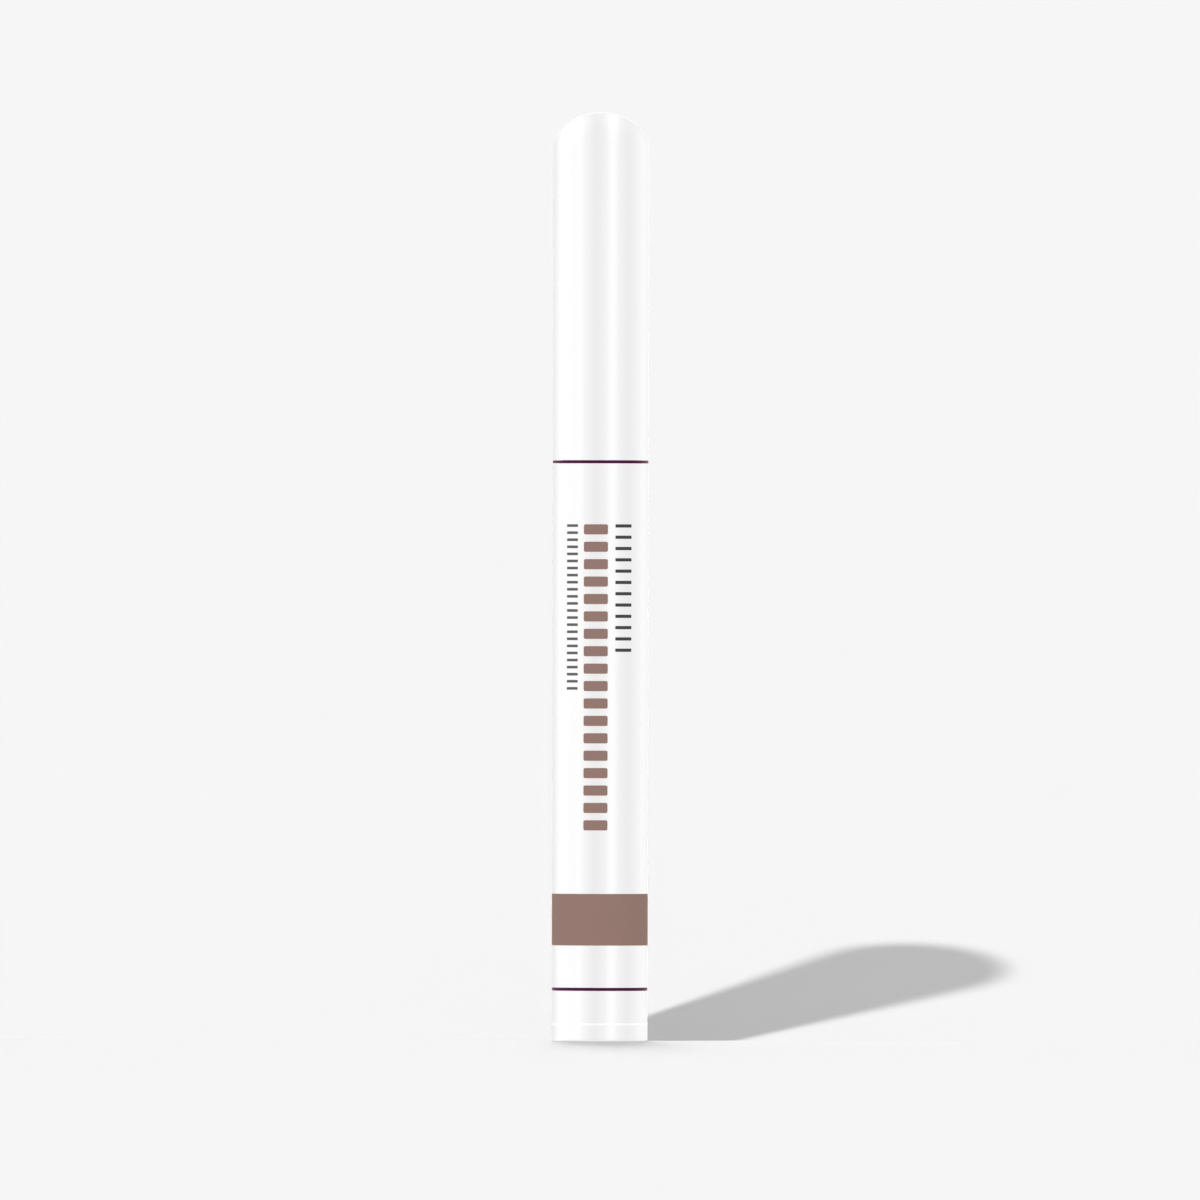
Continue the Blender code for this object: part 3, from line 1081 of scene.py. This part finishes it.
class PEN_OT_end_disc(Operator):
    """White flange that the pen stands on, with a hollow plug inside the tail sleeve"""

    bl_idname = "pen.end_disc"
    bl_label = "End disc"

    def execute(self, context):
        bore = end_plug_radius - end_plug_wall
        corners = [
            (0, end_floor, 0),
            (bore, end_floor, moulded_edge),
            (bore, disc.high, soft_edge),
            (end_plug_radius, disc.high, soft_edge),
            (end_plug_radius, flange_height, 0),
            (body_radius - flange_shelf, flange_height, 0),
            *lip_corners(flange_height),
            (body_radius, 0, foot_edge),
            (body_radius - foot_rim_inset, 0, fine_edge),
            (body_radius - foot_recess_inset, foot_recess, fine_edge),
            (0, foot_recess, 0),
        ]
        # Painted highlight: a purer white line over the lip at the joint
        plastic = white_gloss("end_disc_gloss_plastic", highlight_level=flange_height)
        piece = turned("end_disc_flange", corners, plastic)
        settle(piece, "tail_end_disc", "tail")
        return {"FINISHED"}


class PEN_OT_spare_holder(Operator):
    """Round block with a blind socket for each spare tip and a cored centre"""

    bl_idname = "pen.spare_holder"
    bl_label = "Spare tip holder"

    def execute(self, context):
        corners = [
            (0, holder.high, 0),
            (holder.radius, holder.high, moulded_edge),
            (holder.radius, holder.low, moulded_edge),
            (0, holder.low, 0),
        ]

        def sockets(shape):
            holes = [(socket_radius, Solid(node).axis, socket_lead) for node in spare_tips]
            core_radius = math.hypot(*holes[0][1]) - socket_radius - holder_core_wall
            holes.append((core_radius, (0.0, 0.0), core_lead))
            above = holder.high + seat_gap
            floor = holder.low + holder_floor
            for radius, axis, lead in holes:
                points = [
                    (0, above),
                    (radius + lead, above),
                    (radius + lead, holder.high),
                    (radius, holder.high - lead),
                    (radius, floor),
                    (0, floor),
                ]
                turn_into(shape, points, socket_facets, axis)

        plastic = moulded_plastic("holder_plastic", roughness=0.36)
        piece = turned("spare_tip_holder", corners, plastic)
        combine(piece, sockets, "DIFFERENCE")
        settle(piece, "spare_nib_holder", "tail")
        return {"FINISHED"}


def bar_into(shape, middle, width, top, height, proud, under):
    """Add one bar with rounded corners that follows the barrel."""
    corner = min(height, width) * bar_rounding
    steps = max(fewest_bar_steps, int(width / bar_step))
    rings = []
    for step in range(steps + 1):
        along = width * (1 - math.cos(math.pi * step / steps)) / 2
        into = max(corner - min(along, width - along), 0)
        drop = corner - math.sqrt(max(corner * corner - into * into, 0))
        angle = math.asin((middle - width / 2 + along) / body_radius)
        ring = []
        for radius, level in (
            (proud, top - drop),
            (proud, top - height + drop),
            (under, top - height + drop),
            (under, top - drop),
        ):
            place = (radius * math.sin(angle), -radius * math.cos(angle), level)
            ring.append(shape.verts.new(place))
        rings.append(ring)
    for left, right in zip(rings, rings[1:]):
        join_rings(shape, right, left)
    shape.faces.new(rings[0])
    shape.faces.new(rings[-1])


class PEN_OT_print(Operator):
    """Taupe band round the foot of the barrel and three columns of plain bars on its front"""

    bl_idname = "pen.barrel_print"
    bl_label = "Print"

    def execute(self, context):
        sizes = context.scene.pen_print
        colours = context.scene.pen_colours
        proud = body_radius + sizes.relief
        under = body_radius - ink_root
        corners = tube(proud, under, sizes.band_low, sizes.band_high, 0)
        taupe = ink("taupe_band_ink", colours.band)
        dark = ink("dark_grey_ink", colours.dark_ink)
        pale = ink("pale_grey_ink", colours.pale_ink)
        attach(turned("barrel_band", corners, taupe, facets=band_facets), "pen_body")
        # Middle and width of each column, then the height, pitch and number of its bars
        for name, material, middle, width, height, pitch, count in (
            ("barrel_bars_wide", taupe, -0.00064, 0.00336, 0.00142, 0.002435, 18),
            ("barrel_bars_middle", dark, 0.00321, 0.00224, 0.00045, 0.00158, 12),
            ("barrel_bars_fine", pale, -0.003915, 0.00151, 0.00037, 0.00099, 24),
        ):
            shape = bmesh.new()
            for index in range(count):
                top = sizes.bars_top - index * pitch
                bar_into(shape, middle, width, top, height, proud, under)
            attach(new_piece(name, shape, material), "pen_body")
        return {"FINISHED"}


def back_lamp_directions():
    """Directions from the pen to the lamps behind it, one above the other."""
    level = Vector((-math.sin(back_lamp_swing), math.cos(back_lamp_swing), 0))
    climbs = [math.radians(climb) for climb in back_lamp_climbs]
    return [level * math.cos(climb) + Vector((0, 0, math.sin(climb))) for climb in climbs]


def new_sheet(name, material, front, back, slope):
    """A flat sheet from front to back that rises at a slope."""
    shape = bmesh.new()
    corners = []
    for x, y in (
        (-floor_reach, front), (floor_reach, front), (floor_reach, back), (-floor_reach, back)
    ):
        corners.append(shape.verts.new((x, y * math.cos(slope), y * math.sin(slope))))
    shape.faces.new(corners)
    return mesh_object(name, shape, material)


def floor_finish(studio, back_from):
    """Matt paper whose tone evens out the lamps, so that only shadows show; clear from behind."""
    graph = new_finish("studio_paper")
    place = graph.add("ShaderNodeNewGeometry", output="Position")
    normal = graph.add("ShaderNodeNewGeometry", output="True Normal")
    behind = graph.add("ShaderNodeNewGeometry", output="Backfacing")
    towards = graph.vector("NORMALIZE", graph.vector("SUBTRACT", key_lamp_place, place))
    key = graph.dot(towards, normal)
    back = graph.dot(sum(back_from, Vector()) / len(back_from), normal)
    aim = graph.dot(main_light, normal)
    soft = studio.ambient + (aim + main_light.y) * studio.shading
    dim = 1.0 / (soft + key * studio.key + back * studio.back)
    paper = graph.mix(dim, (0, 0, 0, 1), opaque(studio.tone))
    diffuse = graph.add("ShaderNodeBsdfDiffuse", values={"Color": paper})
    clear = graph.add("ShaderNodeBsdfTransparent")
    near = graph.smooth(graph.vector("LENGTH", place, output="Value"), fade_end, fade_start)
    values = {0: near * (1 - behind), 1: clear, 2: diffuse}
    shown = graph.add("ShaderNodeMixShader", values=values)
    graph.add("ShaderNodeOutputMaterial", values={"Surface": shown})
    return graph.owner


def add_lamps(studio, back_from, stage):
    """A small near lamp and a row of far ones, which light the floor alone.

    The floor is evened out for them, so all that they leave on it is the shadows of the pen.
    """
    near = bpy.data.lights.new("key_lamp", "POINT")
    # A white face that looks at a lamp shows its power over 4 pi squared if it is a point lamp of
    # constant falloff, and its strength over pi if it is a sun
    near.energy = 4 * math.pi ** 2 * studio.key
    near.shadow_soft_size = key_lamp_radius
    graph = Graph(near)
    level = graph.add("ShaderNodeLightFalloff", values={"Strength": 1.0}, output="Constant")
    glow = graph.add("ShaderNodeEmission", values={"Strength": level})
    graph.add("ShaderNodeOutputLight", values={"Surface": glow})
    far = bpy.data.lights.new("back_lamp", "SUN")
    far.energy = math.pi * studio.back / len(back_from)
    far.angle = back_lamp_breadth
    for light, place in ((near, key_lamp_place), *((far, place) for place in back_from)):
        lamp = new_object(light.name, light)
        lamp.location = place
        lamp.rotation_euler = place.to_track_quat("Z", "Y").to_euler()
        lamp.visible_camera = False
        lamp.visible_glossy = False
        lamp.light_linking.receiver_collection = stage


def add_surroundings(studio):
    """Even light from all round, with soft light cards that only gloss picks up."""
    world = bpy.data.worlds.new("studio_light")
    bpy.context.scene.world = world
    world.cycles.sampling_method = "NONE"
    graph = Graph(world)
    ray = graph.add("ShaderNodeTexCoord", output="Generated")
    # Where on a ball that is seen from the front the gloss mirrors this light
    front = (0.0, -1.0, 0.0)
    half = graph.vector("NORMALIZE", graph.vector("ADD", ray, front))
    across = graph.part_of(half, "X")
    facing = graph.dot(half, front)
    grazing = graph.math("POWER", 1 - facing, 5.0)
    mirror = grazing * (1 - mirrored_head_on) + mirrored_head_on
    # The cards bend overhead, so that they run straight up the dome of the cap
    rise = graph.part_of(half, "Z")
    bent = across / graph.math("SQRT", 1 - rise * rise * card_bend)
    cards = 0.0
    for centre, half_width, softness, strength in light_cards:
        offset = abs(bent - centre)
        cards = cards + graph.smooth(offset, half_width + softness, half_width) * strength
    room = room_ahead + graph.smooth(facing, start=0.8, end=0.35) * room_aside
    aim = graph.dot(ray, main_light)
    soft = studio.ambient + (aim * matt_gain + main_light.y) * studio.shading
    # The gloss fills in what the soft light leaves to the right and round the sides
    lost = (-main_light.y - graph.dot(half, main_light)) * studio.shading
    fill = lost * (1 - mirror) * shell_share
    edge = graph.smooth(facing, start=0.26, end=0.14)
    edge = edge * graph.smooth(across, start=-0.98, end=-0.86)
    table = graph.smooth(graph.part_of(ray, "Z"), start=-0.3, end=-0.75)
    gloss = (room + (cards + fill) / mirror) * (1 - edge) + edge_light * edge
    gloss = gloss * (1 - table) + table_light * table
    seen = graph.add("ShaderNodeLightPath", output="Is Camera Ray")
    glossy = graph.add("ShaderNodeLightPath", output="Is Glossy Ray")
    level = gloss * glossy + soft * (1 - glossy)
    strength = studio.tone[0] * seen + level * (1 - seen)
    values = {"Color": (1, 1, 1, 1), "Strength": strength}
    background = graph.add("ShaderNodeBackground", values=values)
    graph.add("ShaderNodeOutputWorld", values={"Surface": background})


def add_camera(studio):
    """A long lens, level with the middle of the picture."""
    data = bpy.data.cameras.new("camera")
    data.sensor_width = sensor_width
    data.lens = sensor_width * studio.camera_distance / (picture_pixels * pixel_length)
    camera = new_object("camera", data)
    across = (picture_pixels / 2 - axis_pixel_column) * pixel_length
    level = (base_pixel_row - picture_pixels / 2) * pixel_length
    camera.location = (across, -studio.camera_distance, level)
    camera.rotation_euler = (math.pi / 2, studio.camera_roll, 0)
    bpy.context.scene.camera = camera


class PEN_OT_studio(Operator):
    """Pale floor and sweep, soft light all round, lamps for the shadows, and the camera"""

    bl_idname = "pen.studio"
    bl_label = "Studio"

    def execute(self, context):
        studio = context.scene.pen_studio
        back_from = back_lamp_directions()
        paper = floor_finish(studio, back_from)
        stage = bpy.data.collections.new("studio_stage")
        context.scene.collection.children.link(stage)
        floor = new_sheet("studio_floor", paper, -floor_reach, floor_reach, slope=0.0)
        sweep = new_sheet("studio_sweep", paper, 0.0, sweep_depth, studio.sweep_slope)
        sweep.location = (0, body_radius, 0)
        # The pen stands on its tail, so the floor stays under the tail when that is pulled out
        for piece in (floor, sweep):
            piece.visible_diffuse = False
            piece.visible_glossy = False
            piece.visible_transmission = False
            piece.visible_shadow = False
            stage.objects.link(piece)
            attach(piece, "tail")
        add_lamps(studio, back_from, stage)
        add_surroundings(studio)
        add_camera(studio)
        context.scene.view_settings.view_transform = "Standard"
        return {"FINISHED"}


property_groups = {
    "pen_sizes": PenSizes,
    "pen_print": PenPrint,
    "pen_colours": PenColours,
    "pen_studio": PenStudio,
}
operators = (
    PEN_OT_barrel,
    PEN_OT_trim_rings,
    PEN_OT_nib_section,
    PEN_OT_reservoir,
    PEN_OT_reservoir_film,
    PEN_OT_tail_plug,
    PEN_OT_tips,
    PEN_OT_cap_shell,
    PEN_OT_cap_liner,
    PEN_OT_tail_cap,
    PEN_OT_end_disc,
    PEN_OT_spare_holder,
    PEN_OT_print,
    PEN_OT_studio,
)


class PEN_PT_panel(Panel):
    """Lists the pieces of the pen with their sizes and colours"""

    bl_label = "Corrector Pen"
    bl_idname = "PEN_PT_panel"
    bl_space_type = "VIEW_3D"
    bl_region_type = "UI"
    bl_category = "Pen"

    def draw(self, context):
        for operator in operators:
            self.layout.operator(operator.bl_idname)
        for group_name, group in property_groups.items():
            box = self.layout.box()
            for name in group.__annotations__:
                box.prop(getattr(context.scene, group_name), name)


def register():
    """Register the groups, the operators and the panel."""
    for name, group in property_groups.items():
        bpy.utils.register_class(group)
        setattr(bpy.types.Scene, name, PointerProperty(type=group))
    for operator in operators:
        bpy.utils.register_class(operator)
    bpy.utils.register_class(PEN_PT_panel)


def unregister():
    """Take back what register added."""
    bpy.utils.unregister_class(PEN_PT_panel)
    for operator in reversed(operators):
        bpy.utils.unregister_class(operator)
    for name, group in property_groups.items():
        delattr(bpy.types.Scene, name)
        bpy.utils.unregister_class(group)


def main():
    """Build every piece and the studio."""
    register()
    bpy.ops.pen.barrel()
    bpy.ops.pen.trim_rings()
    bpy.ops.pen.nib_section()
    bpy.ops.pen.reservoir()
    bpy.ops.pen.reservoir_film()
    bpy.ops.pen.tail_plug()
    bpy.ops.pen.tips()
    bpy.ops.pen.cap_shell()
    bpy.ops.pen.cap_liner()
    bpy.ops.pen.tail_cap()
    bpy.ops.pen.end_disc()
    bpy.ops.pen.spare_holder()
    bpy.ops.pen.barrel_print()
    bpy.ops.pen.studio()


if __name__ == "__main__":
    main()
